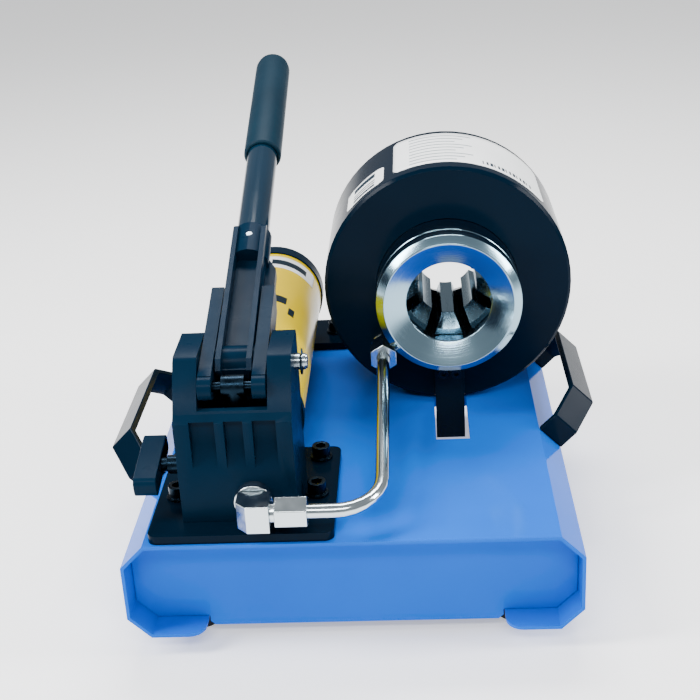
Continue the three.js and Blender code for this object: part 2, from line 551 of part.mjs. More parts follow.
function buildHead() {
  piece(head, "head_cylinder", headCylinder(), "blackPaint");
  piece(head, "piston_nose", pistonNose(), "brightSteel");
  const sealRing = (r0, r1, y0, y1) => turned([[r0, y0], [r1, y0], [r1, y1], [r0, y1]], ROUND);
  piece(head, "rod_seal", sealRing(NOSE.radius + 0.2, NOSE.radius + 4.8, 6.3, 11.7), "seal");
  piece(head, "piston_seal", sealRing(HEAD.inner - 5, HEAD.inner - 0.2, PISTON.flangeY + 10.3, PISTON.flangeY + 15.7), "seal");
  const { inner, length } = HEAD;
  const coverBack = length - 12;
  const plateFront = PISTON.flangeEnd + PISTON.travel + 3;
  piece(head, "rear_cover", turned([
    [38, JAW.back], [58, JAW.back], [58, plateFront], [inner - GAP, plateFront], [inner - GAP, coverBack], [50, coverBack],
  ], 64), "blackSteel");
  piece(head, "cover_ring", turned([
    [70, coverBack + GAP], [inner - GAP, coverBack + GAP], [inner - GAP, length], [74, length], [70, length - 4],
  ], 64), "blackSteel");
  const jawShape = jaw();
  for (let i = 0; i < JAW.count; i += 1) {
    piece(head, `jaw_${i + 1}`, jawShape, "brightSteel").rotation.y = (i * 2 * Math.PI) / JAW.count;
  }
  const strip = solid(block(-STRIP.width / 2, -STRIP.thick - GAP, STRIP.bottom, STRIP.width / 2, -GAP, STRIP.top));
  const screwNames = [["left", -1], ["right", 1]];
  const holes = screwNames.map(([, side]) => solid(rod("y", 3.3, -9, 9, side * STRIP.screwX, STRIP.screwZ, 16)));
  piece(head, "locating_strip", shell(cutAway(strip, ...holes)), "blackPaint");
  for (const [name, side] of screwNames) {
    const face = -STRIP.thick - 2 * GAP;
    const [x, z] = [side * STRIP.screwX, STRIP.screwZ];
    const screw = join(solid(rod("y", 5, face - 5, face, x, z, 24)), solid(rod("y", 2.7, face - 1, 10, x, z, 16)))
      .subtract(solid(hexBar("y", 4.5, face - 6, face - 2.2, x, z)));
    piece(head, `strip_screw_${name}`, shell(screw), "blackSteel");
  }
}

// Two blocks that carry the cylinder, each bolted up through the base.
function buildSaddle() {
  const names = ["left", "right"];
  saddlePlaces.forEach(([x, y], i) => {
    const side = i ? 1 : -1;
    const inner = HEAD.x + side * 28;
    const outer = HEAD.x + side * 64;
    const rough = solid(block(Math.min(inner, outer), y - 32, GAP, Math.max(inner, outer), y + 32, 40));
    const rest = cutAway(rough,
      solid(rod("y", HEAD.radius + GAP, 200, 420, HEAD.x, HEAD.z, 64)),
      solid(rod("z", BOLT.shank + GAP, -1, 9, x, y, 16)));
    piece(machine, `saddle_block_${names[i]}`, shell(rest), "blackPaint");
    const seat = -BASE.sheet - GAP;
    const bolt = join(solid(hexBar("z", 17, seat - 7, seat, x, y)), solid(rod("z", BOLT.shank, seat - 1, 8, x, y, 16)));
    piece(machine, `saddle_bolt_${names[i]}`, shell(bolt), "blackSteel");
  });
}

buildBase();
buildPlates();
buildPump();
buildPipe();
buildHead();
buildSaddle();

// The part's origin: the middle of its box in plan, at the level of the feet.
const part = new THREE.Group();
part.add(machine);
part.updateMatrixWorld(true);
const bounds = new THREE.Box3().setFromObject(machine, true);
machine.position.set(-(bounds.min.x + bounds.max.x) / 2, -(bounds.min.y + bounds.max.y) / 2, -bounds.min.z);

export default part;
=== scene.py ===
"""Hand-pumped hose crimper: the looks of the machine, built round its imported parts.

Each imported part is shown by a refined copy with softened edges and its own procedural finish.
The steel nose is turned from an outline. Labels and printed bars are patches wrapped on cylinders.
Lengths are in metres, angles in degrees, and names or arguments ending in _mm are in millimetres.
The machine faces -Y, with +Z up.
"""

import json
import math

import bmesh
import bpy
import numpy as np
from mathutils import Matrix, Vector


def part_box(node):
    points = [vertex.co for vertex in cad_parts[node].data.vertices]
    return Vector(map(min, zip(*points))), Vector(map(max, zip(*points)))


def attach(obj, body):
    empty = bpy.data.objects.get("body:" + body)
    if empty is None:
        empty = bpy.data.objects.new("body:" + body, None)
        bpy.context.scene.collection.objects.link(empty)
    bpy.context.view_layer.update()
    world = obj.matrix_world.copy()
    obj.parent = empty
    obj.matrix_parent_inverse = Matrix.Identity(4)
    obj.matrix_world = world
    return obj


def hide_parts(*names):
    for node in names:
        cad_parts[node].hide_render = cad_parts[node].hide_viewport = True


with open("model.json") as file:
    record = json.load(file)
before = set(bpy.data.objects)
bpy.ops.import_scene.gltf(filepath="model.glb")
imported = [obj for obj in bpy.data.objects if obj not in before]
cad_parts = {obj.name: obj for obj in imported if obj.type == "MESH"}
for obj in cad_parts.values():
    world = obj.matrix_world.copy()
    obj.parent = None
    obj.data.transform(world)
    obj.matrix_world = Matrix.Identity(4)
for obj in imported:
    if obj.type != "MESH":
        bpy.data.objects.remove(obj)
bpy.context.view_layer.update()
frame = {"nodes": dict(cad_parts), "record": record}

bl_info = {
    "name": "Hose crimper",
    "version": (1, 0, 0),
    "blender": (4, 5, 0),
    "location": "View3D > Sidebar > Crimper",
    "description": "Builds the looks of a hand-pumped hose crimper round its packed parts",
    "category": "Object",
}

MM = 0.001
NODES = dict(frame["nodes"])
BODY_OF = {
    node: body for body, nodes in frame["record"]["behaviour"]["bodies"].items() for node in nodes
}


def box_of(node):
    """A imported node's low and high corners as numpy vectors."""
    low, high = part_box(node)
    return np.array(low, dtype=float), np.array(high, dtype=float)


BASE_LOW, BASE_HIGH = box_of("base_channel")
DECK_FRONT = np.array([(BASE_LOW[0] + BASE_HIGH[0]) / 2, BASE_LOW[1], BASE_HIGH[2]])
HEAD_LOW, HEAD_HIGH = box_of("head_cylinder")
HEAD_CENTRE = (HEAD_LOW + HEAD_HIGH) / 2
HEAD_RADIUS = (HEAD_HIGH[0] - HEAD_LOW[0]) / 2
TANK_LOW, TANK_HIGH = box_of("reservoir_tube")
TANK_CENTRE = (TANK_LOW + TANK_HIGH) / 2
TANK_RADIUS = (TANK_HIGH[0] - TANK_LOW[0]) / 2
JAWS = 8

MERGE_DISTANCE = 2e-6
FLAT_ANGLE = 0.6  # faces closer than this are one flat face
SHARP_ANGLE = 32.0  # edges over this are rounded

INK = {"lift_mm": 0.26, "thick_mm": 0.05}  # print that lies on a label
TANK_INK = {"lift_mm": 0.05, "thick_mm": 0.05}  # print that lies on the tank itself


class CrimperSettings(bpy.types.PropertyGroup):
    """The colours and sizes of the machine that a user would change."""

    base_colour: bpy.props.FloatVectorProperty(
        name="Base colour",
        description="Main shade of the enamel on the base",
        subtype="COLOR", default=(0.0, 0.095, 0.53), min=0.0, max=1.0,
    )
    base_shade: bpy.props.FloatVectorProperty(
        name="Base second shade",
        description="Shade that the enamel on the base drifts to in slow patches",
        subtype="COLOR", default=(0.0, 0.109, 0.58), min=0.0, max=1.0,
    )
    tank_colour: bpy.props.FloatVectorProperty(
        name="Tank colour",
        description="Main shade of the oil tank's paint",
        subtype="COLOR", default=(0.72, 0.50, 0.0), min=0.0, max=1.0,
    )
    tank_shade: bpy.props.FloatVectorProperty(
        name="Tank second shade",
        description="Shade that the tank's paint drifts to in slow patches",
        subtype="COLOR", default=(0.76, 0.54, 0.0), min=0.0, max=1.0,
    )
    edge_scale: bpy.props.FloatProperty(
        name="Edge softness",
        description="Multiplies the width of every rounded edge",
        subtype="FACTOR", default=1.0, min=0.1, max=2.0,
    )
    label_thickness: bpy.props.FloatProperty(
        name="Label thickness",
        description="Thickness of the white labels on the head and the tank",
        unit="LENGTH", default=0.12 * MM, min=0.05 * MM, max=0.2 * MM, precision=5,
    )


def settings():
    """The scene's values for the machine."""
    return bpy.context.scene.crimper


# ---------------------------------------------------------------- finishes

FINISHES = {}
NOISE_LOW, NOISE_HIGH = 0.3, 0.7  # the band that most of a noise texture's values fall in
COAT_ROUGHNESS = 0.06


def new_material(name):
    """An empty node material; returns the material, its tree and its Principled shader."""
    material = bpy.data.materials.new(name)
    material.use_nodes = True
    tree = material.node_tree
    return material, tree, tree.nodes["Principled BSDF"]


def noise(tree, scale, detail=2.0, stretch=(1.0, 1.0, 1.0)):
    """The value of a noise texture on the piece's own coordinates, stretched along its axes."""
    place = tree.nodes.new("ShaderNodeTexCoord")
    mapping = tree.nodes.new("ShaderNodeMapping")
    mapping.inputs["Scale"].default_value = stretch
    texture = tree.nodes.new("ShaderNodeTexNoise")
    texture.inputs["Scale"].default_value = scale
    texture.inputs["Detail"].default_value = detail
    tree.links.new(place.outputs["Object"], mapping.inputs["Vector"])
    tree.links.new(mapping.outputs["Vector"], texture.inputs["Vector"])
    return texture.outputs["Fac"]


def spread(tree, factor, low, high):
    """Stretches the middle band of a noise value over the range from low to high."""
    node = tree.nodes.new("ShaderNodeMapRange")
    node.inputs["From Min"].default_value = NOISE_LOW
    node.inputs["From Max"].default_value = NOISE_HIGH
    node.inputs["To Min"].default_value = low
    node.inputs["To Max"].default_value = high
    tree.links.new(factor, node.inputs["Value"])
    return node.outputs["Result"]


def mix_colours(tree, factor, first, second):
    """A colour that runs from the first to the second as a value rises from 0 to 1."""
    node = tree.nodes.new("ShaderNodeMix")
    node.data_type = "RGBA"
    node.inputs["A"].default_value = (*first, 1.0)
    node.inputs["B"].default_value = (*second, 1.0)
    tree.links.new(factor, node.inputs["Factor"])
    return node.outputs["Result"]


def add_bump(tree, shader, height, strength, distance):
    """Raises the surface's shading by a height value."""
    bump = tree.nodes.new("ShaderNodeBump")
    bump.inputs["Strength"].default_value = strength
    bump.inputs["Distance"].default_value = distance
    tree.links.new(height, bump.inputs["Height"])
    tree.links.new(bump.outputs["Normal"], shader.inputs["Normal"])


def painted(name, colour, shade, roughness, coat=0.0, peel=0.06, scale=140.0, shine=0.2):
    """Paint: two close shades in slow patches, a faint orange peel and an optional clear coat."""
    material, tree, shader = new_material(name)
    patches = spread(tree, noise(tree, scale=9.0), 0.0, 1.0)
    tree.links.new(mix_colours(tree, patches, colour, shade), shader.inputs["Base Color"])
    gloss = spread(tree, noise(tree, scale=30.0, detail=3.0), roughness * 0.85, roughness * 1.2)
    tree.links.new(gloss, shader.inputs["Roughness"])
    shader.inputs["Specular IOR Level"].default_value = shine
    shader.inputs["Coat Weight"].default_value = coat
    shader.inputs["Coat Roughness"].default_value = COAT_ROUGHNESS
    add_bump(tree, shader, noise(tree, scale), strength=peel, distance=0.0004)
    return material


def grained(name, colour, shade, roughness, grain=900.0, depth=0.25, shine=0.22):
    """Moulded or cast stock: satin, with a fine even grain."""
    material, tree, shader = new_material(name)
    patches = spread(tree, noise(tree, scale=14.0, detail=3.0), 0.0, 1.0)
    tree.links.new(mix_colours(tree, patches, colour, shade), shader.inputs["Base Color"])
    gloss = spread(tree, noise(tree, scale=60.0), roughness * 0.9, roughness * 1.12)
    tree.links.new(gloss, shader.inputs["Roughness"])
    shader.inputs["Specular IOR Level"].default_value = shine
    add_bump(tree, shader, noise(tree, grain), strength=depth, distance=0.0003)
    return material


def bare_metal(name, colour):
    """The start of a metal finish; returns what new_material does."""
    material, tree, shader = new_material(name)
    shader.inputs["Metallic"].default_value = 1.0
    shader.inputs["Base Color"].default_value = (*colour, 1.0)
    return material, tree, shader


def brushed(name, colour, roughness, stretch, scale=260.0, depth=0.08):
    """Metal brushed along one direction: noise drawn out along the grain."""
    material, tree, shader = bare_metal(name, colour)
    streaks = noise(tree, scale, 3.0, stretch)
    gloss = spread(tree, streaks, roughness * 0.7, roughness * 1.4)
    tree.links.new(gloss, shader.inputs["Roughness"])
    add_bump(tree, shader, streaks, strength=depth, distance=0.0002)
    return material


def turned(name, colour, roughness, centre, rings=900.0, depth=0.10):
    """Lathe-turned metal: fine rings round an axis along Y.

    The rings are noise on two numbers, the distance to the axis and the place along it.
    """
    material, tree, shader = bare_metal(name, colour)
    place = tree.nodes.new("ShaderNodeTexCoord")
    offset = tree.nodes.new("ShaderNodeVectorMath")
    offset.operation = "SUBTRACT"
    offset.inputs[1].default_value = (centre[0], 0.0, centre[2])
    parts = tree.nodes.new("ShaderNodeSeparateXYZ")
    flat = tree.nodes.new("ShaderNodeCombineXYZ")
    length = tree.nodes.new("ShaderNodeVectorMath")
    length.operation = "LENGTH"
    rows = tree.nodes.new("ShaderNodeCombineXYZ")
    tree.links.new(place.outputs["Object"], offset.inputs[0])
    tree.links.new(offset.outputs["Vector"], parts.inputs["Vector"])
    tree.links.new(parts.outputs["X"], flat.inputs["X"])
    tree.links.new(parts.outputs["Z"], flat.inputs["Z"])
    tree.links.new(flat.outputs["Vector"], length.inputs[0])
    tree.links.new(length.outputs["Value"], rows.inputs["X"])
    tree.links.new(parts.outputs["Y"], rows.inputs["Y"])
    grooves = tree.nodes.new("ShaderNodeTexNoise")
    grooves.inputs["Scale"].default_value = rings
    grooves.inputs["Detail"].default_value = 3.0
    tree.links.new(rows.outputs["Vector"], grooves.inputs["Vector"])
    gloss = spread(tree, grooves.outputs["Fac"], roughness * 0.7, roughness * 1.5)
    tree.links.new(gloss, shader.inputs["Roughness"])
    add_bump(tree, shader, grooves.outputs["Fac"], strength=depth, distance=0.0002)
    return material


def make_finishes():
    """Fills the table of finishes, by name."""
    look = settings()
    enamel = {"colour": (0.0006, 0.0050, 0.0125), "shade": (0.0009, 0.0068, 0.016)}
    ink = {"roughness": 0.4, "peel": 0.01, "shine": 0.1}
    even = (1.0, 1.0, 1.0)
    recipes = {
        "blue_enamel": (painted, {
            "colour": look.base_colour, "shade": look.base_shade,
            "roughness": 0.14, "peel": 0.02, "shine": 0.05}),
        "black_enamel": (painted, {**enamel, "roughness": 0.16, "peel": 0.03, "shine": 0.03}),
        "black_powder_coat": (painted, {
            **enamel, "roughness": 0.3, "peel": 0.2, "scale": 700.0, "shine": 0.06}),
        "handle_lacquer": (painted, {
            "colour": (0.001, 0.012, 0.026), "shade": (0.002, 0.015, 0.031),
            "roughness": 0.12, "coat": 0.4, "peel": 0.02}),
        "moulded_black": (grained, {
            "colour": (0.0008, 0.0085, 0.021), "shade": (0.0012, 0.0115, 0.027),
            "roughness": 0.3, "depth": 0.2, "shine": 0.03}),
        "tank_yellow": (painted, {
            "colour": look.tank_colour, "shade": look.tank_shade,
            "roughness": 0.2, "coat": 0.05, "peel": 0.02, "shine": 0.1}),
        "foot_rubber": (grained, {
            "colour": (0.003, 0.004, 0.005), "shade": (0.006, 0.007, 0.008),
            "roughness": 0.7, "grain": 500.0, "depth": 0.3}),
        "grip_rubber": (grained, {
            "colour": (0.002, 0.014, 0.026), "shade": (0.003, 0.018, 0.032),
            "roughness": 0.45, "grain": 1400.0, "depth": 0.3, "shine": 0.08}),
        "seal_rubber": (grained, {
            "colour": (0.010, 0.009, 0.009), "shade": (0.016, 0.014, 0.013),
            "roughness": 0.6, "grain": 500.0, "depth": 0.2}),
        "turned_steel": (turned, {
            "colour": (0.26, 0.40, 0.49), "roughness": 0.15,
            "centre": HEAD_CENTRE, "rings": 1100.0, "depth": 0.16}),
        "jaw_steel": (brushed, {
            "colour": (0.13, 0.22, 0.28), "roughness": 0.22,
            "stretch": (1.0, 0.06, 1.0), "scale": 420.0}),
        "pipe_steel": (brushed, {
            "colour": (0.55, 0.62, 0.65), "roughness": 0.12,
            "stretch": (0.2, 0.05, 0.2), "scale": 300.0, "depth": 0.05}),
        "fitting_zinc": (brushed, {
            "colour": (0.58, 0.65, 0.68), "roughness": 0.17,
            "stretch": even, "scale": 90.0, "depth": 0.10}),
        "pin_steel": (brushed, {
            "colour": (0.35, 0.42, 0.47), "roughness": 0.22,
            "stretch": (0.1, 1.0, 1.0), "scale": 300.0}),
        "black_oxide": (brushed, {
            "colour": (0.006, 0.014, 0.024), "roughness": 0.3,
            "stretch": even, "scale": 200.0, "depth": 0.1}),
        "label_white": (painted, {
            "colour": (0.90, 0.92, 0.92), "shade": (0.87, 0.89, 0.90),
            "roughness": 0.38, "coat": 0.1, "peel": 0.01}),
        "label_ink": (painted, {
            "colour": (0.003, 0.012, 0.022), "shade": (0.004, 0.014, 0.026), **ink}),
        "label_grey": (painted, {
            "colour": (0.13, 0.17, 0.20), "shade": (0.16, 0.20, 0.23), **ink}),
    }
    for name, (make, values) in recipes.items():
        FINISHES[name] = make(name, **values)


def finish_named(name):
    """A finish from the table, which has to be made before any piece."""
    if not FINISHES:
        raise RuntimeError("make the finishes before the pieces")
    return FINISHES[name]


# ---------------------------------------------------------------- shapes


def add_object(name, data):
    """A new object of the scene that holds a mesh, a light or a camera."""
    piece = bpy.data.objects.new(name, data)
    bpy.context.scene.collection.objects.link(piece)
    return piece


def refine(node, finish, edge_mm=0.8, steps=3, sharp=SHARP_ANGLE):
    """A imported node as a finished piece.

    It is a copy with its loose triangles merged and its flat faces made whole. Edges over the
    sharp angle are rounded by a bevel, and the rest is shaded smooth.
    """
    mesh = NODES[node].data.copy()
    mesh.name = node + "_finished"
    work = bmesh.new()
    work.from_mesh(mesh)
    bmesh.ops.remove_doubles(work, verts=work.verts, dist=MERGE_DISTANCE)
    bmesh.ops.dissolve_limit(
        work,
        angle_limit=math.radians(FLAT_ANGLE),
        verts=work.verts,
        edges=work.edges,
        use_dissolve_boundaries=False,
    )
    for face in work.faces:
        face.smooth = True
    work.to_mesh(mesh)
    work.free()
    mesh.materials.clear()
    mesh.materials.append(finish_named(finish))
    piece = add_object(node + "_finished", mesh)
    mesh.set_sharp_from_angle(angle=math.radians(sharp))
    if edge_mm > 0:
        bevel = piece.modifiers.new("edge", "BEVEL")
        bevel.width = edge_mm * MM * settings().edge_scale
        bevel.segments = steps
        bevel.limit_method = "ANGLE"
        bevel.angle_limit = math.radians(sharp)
        bevel.use_clamp_overlap = True
        bevel.harden_normals = True
        bevel.miter_outer = "MITER_ARC"
    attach(piece, BODY_OF[node])
    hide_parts(node)


def surface(name, grid, finish, body, close=False):
    """A sheet of quads over a (rows, columns, 3) grid of points, with smooth shading.

    A closed sheet joins its last column to its first.
    """
    rows, columns, _ = grid.shape
    index = np.arange(rows * columns).reshape(rows, columns)
    if close:
        index = np.concatenate([index, index[:, :1]], axis=1)
    corners = [index[:-1, :-1], index[:-1, 1:], index[1:, 1:], index[1:, :-1]]
    quads = np.stack(corners, axis=-1).reshape(-1, 4)
    mesh = bpy.data.meshes.new(name)
    mesh.from_pydata(grid.reshape(-1, 3).tolist(), [], quads.tolist())
    mesh.polygons.foreach_set("use_smooth", np.ones(len(quads), dtype=bool))
    mesh.materials.append(finish_named(finish))
    piece = add_object(name, mesh)
    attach(piece, body)
    return piece


def face_out(piece, centre):
    """Turns a patch over if its faces look towards the axis that it is wrapped round."""
    mesh = piece.data
    face = mesh.polygons[len(mesh.polygons) // 2]
    away = Vector(face.center) - Vector((centre[0], face.center[1], centre[2]))
    if face.normal.dot(away) < 0:
        mesh.flip_normals()


def wrap_patch(name, cylinder, around, along, finish, lift_mm=0.1, thick_mm=None, corner=0.0):
    """A label or a printed bar on a fixed cylinder, given as its centre and radius, along Y.

    The grid runs round the axis between two angles from the top, clockwise from the front, and
    along Y between two places: x and z go by the sine and cosine of the angle, times the radius
    and the lift. Within a corner radius of an end, each side draws in by what a quarter circle
    leaves: the radius less the root of its square less the square of the distance gone.
    """
    rows, columns = 14, 40
    centre, radius = cylinder
    reach = radius + lift_mm * MM
    first, last = np.radians(around)
    y = np.linspace(along[0], along[1], rows)
    edge = np.minimum(y - along[0], along[1] - y)
    short = np.clip(corner - edge, 0.0, corner)
    trim = (corner - np.sqrt(corner**2 - short**2)) / reach
    angle = np.linspace(first + trim, last - trim, columns, axis=1)
    grid = np.zeros((rows, columns, 3))
    grid[:, :, 0] = centre[0] + reach * np.sin(angle)
    grid[:, :, 1] = y[:, None]
    grid[:, :, 2] = centre[2] + reach * np.cos(angle)
    piece = surface(name, grid[:, ::-1], finish, "frame")
    face_out(piece, centre)
    wall = piece.modifiers.new("thickness", "SOLIDIFY")
    wall.thickness = settings().label_thickness if thick_mm is None else thick_mm * MM
    wall.offset = 1.0
    wall.use_even_offset = True


def rounded_loop(outline, steps=4):
    """A closed outline with eased corners: each is a quadratic curve between two points beside it.

    A point of the outline is a radius, a place, the length that its corner eases back along
    each side, and a share. The result has the radius, the place and the share.
    """
    most = 0.45  # of a side, so that two corners never meet
    points = [np.array((radius, y, share)) for radius, y, _, share in outline]
    rows = []
    for i, here in enumerate(points):
        ease = outline[i][2]
        ends = []
        for other in (points[i - 1], points[(i + 1) % len(points)]):
            reach = np.hypot(*(other - here)[:2])
            ends.append(here + (other - here) * min(ease / reach, most))
        for t in np.linspace(0.0, 1.0, steps + 1):
            rows.append((1 - t) ** 2 * ends[0] + 2 * t * (1 - t) * here + t**2 * ends[1])
    return np.array(rows)


def turned_ring(name, outline, centre, front, sides, finish, body, columns=192):
    """A ring turned about an axis along Y from a closed outline in millimetres behind a front.

    Where the outline's share is 1, the radius is divided by the cosine of the angle from the
    nearest flat, which makes that stretch many-sided instead of round.
    """
    rows = rounded_loop(outline)
    angle = np.linspace(0.0, 2 * np.pi, columns, endpoint=False)
    side = 2 * np.pi / sides
    from_flat = (angle + side / 2) % side - side / 2
    share = rows[:, 2:3]
    radius = rows[:, :1] * ((1 - share) + share / np.cos(from_flat)[None, :]) * MM
    grid = np.zeros((len(rows), columns, 3))
    grid[:, :, 0] = centre[0] + radius * np.sin(angle)
    grid[:, :, 1] = front + rows[:, 1:2] * MM
    grid[:, :, 2] = centre[2] + radius * np.cos(angle)
    loop = np.concatenate([grid, grid[:1]], axis=0)
    piece = surface(name, loop, finish, body, close=True)
    work = bmesh.new()
    work.from_mesh(piece.data)
    bmesh.ops.remove_doubles(work, verts=work.verts, dist=1e-7)
    bmesh.ops.recalc_face_normals(work, faces=work.faces)
    if work.calc_volume(signed=True) < 0:
        bmesh.ops.reverse_faces(work, faces=work.faces)
    work.to_mesh(piece.data)
    work.free()
    return piece


# ---------------------------------------------------------------- groups of pieces


def build_base():
    """The folded blue base with its end panels and rubber feet."""
    refine("base_channel", "blue_enamel", edge_mm=1.4, steps=4, sharp=28.0)
    for node in ("front_panel", "rear_panel"):
        refine(node, "blue_enamel")
    for node in NODES:
        if node.startswith("foot_"):
            refine(node, "foot_rubber", edge_mm=1.0)


def build_handles():
    """The two bent flat-bar carry handles."""
    for node in ("carry_handle_left", "carry_handle_right"):
        refine(node, "black_enamel", edge_mm=1.2)


def build_plates():
    """The black adapter plates and the bolts through them."""
    for node in ("front_adapter_plate", "rear_adapter_plate"):
        refine(node, "black_enamel", edge_mm=1.0)
    for node in NODES:
        if node.startswith(("plate_bolt_", "saddle_bolt_")):
            refine(node, "black_oxide", edge_mm=0.5, steps=2)


def build_pump():
    """The moulded pump with its plunger, pins and release valve."""
    refine("pump_body", "moulded_black", edge_mm=1.8, steps=4)
    refine("pivot_pin", "pin_steel", edge_mm=0.5, steps=2)
    refine("pivot_clip", "black_oxide", edge_mm=0.0)
    refine("plunger", "black_oxide", edge_mm=0.5, steps=2)
    refine("plunger_pin", "black_oxide", edge_mm=0.6, steps=2)
    refine("release_stem", "black_oxide", edge_mm=0.5, steps=2)
    refine("release_knob", "moulded_black", edge_mm=2.6, steps=4)


def build_reservoir():
    """The yellow oil tank, its black cap, what holds them, and the tank's label and print."""
    refine("reservoir_tube", "tank_yellow", edge_mm=0.4, steps=2)
    refine("reservoir_end_cap", "moulded_black", edge_mm=1.2)
    refine("oil_bladder", "seal_rubber", edge_mm=1.0, steps=2)
    refine("reservoir_tie_rod", "fitting_zinc", edge_mm=0.5, steps=2)
    refine("filler_cap", "moulded_black", edge_mm=1.0, steps=2)
    tank = (TANK_CENTRE, TANK_RADIUS)
    back = TANK_HIGH[1]
    label_place = (back - 0.046, back - 0.014)
    bar_place = (back - 0.037, back - 0.024)
    wrap_patch("tank_label", tank, (-12, 62), label_place, "label_white", corner=0.002)
    wrap_patch("tank_label_bar", tank, (2, 48), bar_place, "label_ink", **INK)
    print_start, print_pitch, print_width = 0.12, 0.02, 0.016
    for row, around in enumerate(((14, 30), (34, 42))):
        start = back - print_start - print_pitch * row
        place = (start - print_width, start)
        wrap_patch(f"tank_print_{row + 1}", tank, around, place, "label_ink", **TANK_INK)


def build_lever():
    """The channel casting, the lacquered tube and its rubber grip."""
    refine("lever_casting", "moulded_black", edge_mm=1.2)
    refine("lever_tube", "handle_lacquer", edge_mm=0.5, steps=2)
    refine("lever_grip", "grip_rubber", edge_mm=1.2)
    refine("tube_cross_pin", "pin_steel", edge_mm=0.4, steps=2)


def build_pipework():
    """The elbow, the hexagon nuts, the bent steel pipe and the head's port adapter."""
    refine("outlet_collar", "fitting_zinc")
    refine("elbow_fitting", "fitting_zinc", edge_mm=1.2, steps=4)
    for node in ("pipe_nut_pump", "pipe_nut_head", "head_port_adapter"):
        refine(node, "fitting_zinc", edge_mm=0.7)
    refine("pressure_pipe", "pipe_steel", edge_mm=0.4, steps=2, sharp=40.0)


def build_head():
    """The black cylinder with its covers, seals, saddle and locating strip."""
    refine("head_cylinder", "black_enamel", edge_mm=1.4, steps=4)
    for node in ("rear_cover", "cover_ring"):
        refine(node, "black_oxide")
    for node in ("rod_seal", "piston_seal"):
        refine(node, "seal_rubber", edge_mm=0.4, steps=2)
    for node in ("saddle_block_left", "saddle_block_right"):
        refine(node, "black_enamel", edge_mm=1.0, steps=2)
    refine("locating_strip", "black_powder_coat", edge_mm=0.6, steps=2)
    for node in ("strip_screw_left", "strip_screw_right"):
        refine(node, "black_oxide", edge_mm=0.5, steps=2)


# The nose's turned outline in millimetres from the head's front face. Each point is a radius,
# a place along Y, the ease of its corner and an eight-sided share. Where the share is 1, the
# radius is the distance to a flat of the jaws' seat.
NOSE_OUTLINE = (
    # the seat's front end and the mouth's cone
    (39.4, -38.0, 0.4, 1.0), (39.0, -38.4, 0.2, 0.0), (39.0, -41.0, 0.6, 0.0),
    (59.2, -51.5, 0.5, 0.0), (60.2, -51.5, 0.5, 0.0), (66.9, -45.5, 0.8, 0.0),
    # the outer face with its one groove
    (66.9, -30.6, 0.15, 0.0), (66.5, -30.2, 0.1, 0.0), (66.5, -29.4, 0.1, 0.0),
    (66.9, -29.0, 0.15, 0.0), (66.9, 45.0, 0.3, 0.0),
    # the piston's rim with its seal groove, and the seat's back end
    (97.7, 45.0, 0.5, 0.0), (97.7, 55.0, 0.3, 0.0), (93.0, 55.0, 0.3, 0.0),
    (93.0, 61.0, 0.3, 0.0), (97.7, 61.0, 0.3, 0.0), (97.7, 71.0, 0.5, 0.0),
    (63.4, 71.0, 0.4, 1.0),
)


def build_nose():
    """The turned steel nose and the ring of jaws inside it."""
    body = BODY_OF["piston_nose"]
    front = HEAD_LOW[1]
    nose = turned_ring("nose", NOSE_OUTLINE, HEAD_CENTRE, front, JAWS, "turned_steel", body)
    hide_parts("piston_nose")
    for number in range(1, JAWS + 1):
        refine(f"jaw_{number}", "jaw_steel", edge_mm=0.9)


def build_labels():
    """Plain white labels over the head, with bars and lines in place of print."""
    head = (HEAD_CENTRE, HEAD_RADIUS)
    front, back = HEAD_LOW[1], HEAD_HIGH[1]

    label_place = (front + 0.016, back - 0.012)
    badge_place = (front + 0.012, front + 0.062)
    wrap_patch("head_label", head, (-24, 52), label_place, "label_white", corner=0.004)
    wrap_patch("head_badge", head, (-52, -29), badge_place, "label_white", corner=0.006)

    badge_bars = ((0.016, 0.022), (0.026, 0.029), (0.033, 0.036), (0.044, 0.056))
    for row, (near, far) in enumerate(badge_bars):
        place = (front + near, front + far)
        wrap_patch(f"badge_bar_{row + 1}", head, (-47, -34), place, "label_ink", **INK)

    lines, line_pitch, line_width = 9, 0.0105, 0.0022
    for row in range(lines):
        near = front + 0.024 + line_pitch * row
        around = (-16, 6 + 4 * (row % 3))
        place = (near, near + line_width)
        wrap_patch(f"label_line_{row + 1}", head, around, place, "label_grey", **INK)

    code_bars, code_start, code_pitch, code_widths = 14, 18, 1.9, (0.5, 0.9, 1.3)
    place = (front + 0.024, front + 0.034)
    for column in range(code_bars):
        first = code_start + code_pitch * column
        around = (first, first + code_widths[column % len(code_widths)])
        wrap_patch(f"label_code_{column + 1}", head, around, place, "label_ink", **INK)


# ---------------------------------------------------------------- stage

CAMERA_PLACE = (0.06198, -0.89483, 0.56426)  # from the middle of the deck's front edge
CAMERA_PITCH, CAMERA_YAW, CAMERA_ROLL = 0.415, -0.059, -0.057  # in radians
CAMERA_LENS_MM, CAMERA_SENSOR_MM = 66.92, 36.0
CAMERA_REACH = 50.0
FLOOR_REACH, FLOOR_DROP = 6.0, 0.0004
FLOOR_WHITE, FLOOR_GLOW = 0.9, 0.55
SKY_COLOUR, SKY_GLOW = (0.93, 0.96, 1.0), 0.42
LIT_POINT = (0.0, 0.0, 0.2)
SOFTBOXES = (  # name, place, width and height, watts
    ("key_box", (-1.2, -0.5, 1.3), (0.35, 1.0), 44.0),
    ("fill_box", (1.4, -0.3, 0.9), (0.3, 0.8), 22.0),
    ("top_box", (0.0, 0.7, 1.8), (1.2, 0.5), 44.0),
    ("front_box", (0.0, -1.6, 1.6), (1.4, 0.3), 30.0),
)


